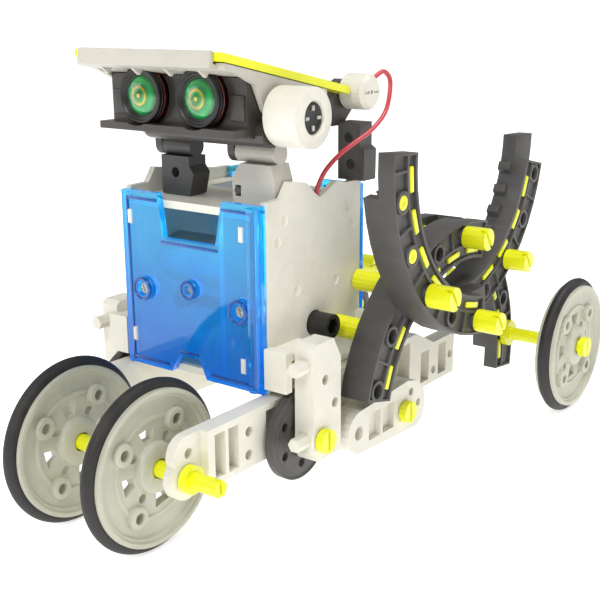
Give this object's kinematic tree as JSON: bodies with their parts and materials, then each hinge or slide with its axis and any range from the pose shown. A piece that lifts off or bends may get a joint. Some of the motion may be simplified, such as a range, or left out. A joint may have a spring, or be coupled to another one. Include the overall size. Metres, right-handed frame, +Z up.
{
  "type": "solar robot kit",
  "caption": "Clip-together toy robot: wheeled gearbox body, curved side beams, round-eyed head tilting under a flat solar panel.",
  "frame": {"origin": "on the ground midway between the front and rear axles, on the middle plane", "axes": "+Z up, the robot looks along -Y, its left side is +X"},
  "size_m": [0.1524, 0.2334, 0.1443],
  "materials": {
    "charcoal_plastic": "moulded plastic, fine matt grain",
    "white_plastic": "moulded plastic, satin",
    "grey_plastic": "moulded plastic, satin",
    "yellow_plastic": "moulded plastic, slightly glossy",
    "blue_clear": "clear tinted plastic",
    "green_plastic": "moulded plastic",
    "black_plastic": "moulded plastic",
    "black_gloss": "polished plastic barrel and lens",
    "motor_steel": "drawn can",
    "black_rubber": "moulded ring",
    "red_insulation": "flexible wire insulation"
  },
  "bodies": {
    "chassis": {"arm_pin_left": "yellow_plastic", "arm_pin_right": "yellow_plastic", "beam_lower_front_left": "charcoal_plastic", "beam_lower_front_right": "charcoal_plastic", "beam_lower_rear_left": "charcoal_plastic", "beam_lower_rear_right": "charcoal_plastic", "beam_upper_front_left": "charcoal_plastic", "beam_upper_rear_left": "charcoal_plastic", "drop_bracket_left": "white_plastic", "drop_bracket_right": "white_plastic", "front_axle": "yellow_plastic", "front_cover": "blue_clear", "gearbox_frame": "white_plastic", "motor": "motor_steel", "neck_left": "grey_plastic", "neck_right": "charcoal_plastic", "rear_arm_left": "white_plastic", "rear_arm_right": "white_plastic", "rear_axle_left": "yellow_plastic", "rear_axle_right": "yellow_plastic", "rear_cover": "blue_clear", "rear_pillar": "charcoal_plastic", "red_wire": "red_insulation", "roller_pin_left": "yellow_plastic", "roller_pin_right": "yellow_plastic", "side_beam_left": "white_plastic", "side_beam_right": "white_plastic", "side_panel_left": "white_plastic", "side_panel_right": "white_plastic", "spacer_high_left": "yellow_plastic", "spacer_high_right": "yellow_plastic", "spacer_low_left": "yellow_plastic", "spacer_low_right": "yellow_plastic", "stud_d_left": "yellow_plastic", "stud_e_left": "yellow_plastic", "stud_f_left": "yellow_plastic", "stud_g_left": "yellow_plastic", "stud_g_right": "yellow_plastic"},
    "head": {"head_shell": "charcoal_plastic", "visor": "grey_plastic", "solar_panel": "yellow_plastic", "eye_left": "black_gloss", "eye_right": "black_gloss", "ear_disc": "white_plastic", "rear_bracket": "charcoal_plastic", "rear_knob": "white_plastic"},
    "drive": {"drive_gear": "green_plastic", "output_shaft": "black_plastic"},
    "pinion": {"motor_pinion": "white_plastic"},
    "front_wheel_left": {"front_left_rim": "white_plastic", "front_left_tyre": "black_rubber"},
    "front_wheel_right": {"front_right_rim": "white_plastic", "front_right_tyre": "black_rubber"},
    "rear_wheel_left": {"rear_left_rim": "white_plastic", "rear_left_tyre": "black_rubber"},
    "rear_wheel_right": {"rear_right_rim": "white_plastic", "rear_right_tyre": "black_rubber"},
    "roller_left": {"mid_roller_left": "charcoal_plastic"},
    "roller_right": {"mid_roller_right": "charcoal_plastic"}
  },
  "joints": [
    {"name": "head_tilt", "type": "hinge", "parent": "chassis", "child": "head", "pos_m": [0, -0.03765, 0.1125], "axis": [1, 0, 0], "range_deg": [-4, 12]},
    {"name": "front_wheel_left_spin", "type": "hinge", "parent": "chassis", "child": "front_wheel_left", "pos_m": [0.0167, -0.09015, 0.0265], "axis": [1, 0, 0], "continuous": true},
    {"name": "front_wheel_right_spin", "type": "hinge", "parent": "chassis", "child": "front_wheel_right", "pos_m": [-0.0167, -0.09015, 0.0265], "axis": [1, 0, 0], "continuous": true},
    {"name": "rear_wheel_left_spin", "type": "hinge", "parent": "chassis", "child": "rear_wheel_left", "pos_m": [0.0688, 0.09015, 0.0265], "axis": [1, 0, 0], "continuous": true},
    {"name": "rear_wheel_right_spin", "type": "hinge", "parent": "chassis", "child": "rear_wheel_right", "pos_m": [-0.0688, 0.09015, 0.0265], "axis": [1, 0, 0], "continuous": true},
    {"name": "roller_left_spin", "type": "hinge", "parent": "chassis", "child": "roller_left", "pos_m": [0.0367, -0.04515, 0.0265], "axis": [1, 0, 0], "continuous": true},
    {"name": "roller_right_spin", "type": "hinge", "parent": "chassis", "child": "roller_right", "pos_m": [-0.0367, -0.04515, 0.0265], "axis": [1, 0, 0], "continuous": true},
    {"name": "drive_spin", "type": "hinge", "parent": "chassis", "child": "drive", "pos_m": [0, -0.02665, 0.057], "axis": [1, 0, 0], "continuous": true},
    {"name": "pinion_spin", "type": "hinge", "parent": "chassis", "child": "pinion", "pos_m": [0.0155, -0.03468, 0.07422], "axis": [1, 0, 0], "continuous": true}
  ],
  "couplings": [
    {"joint": "pinion_spin", "follows": "drive_spin", "ratio": -3.75}
  ]
}
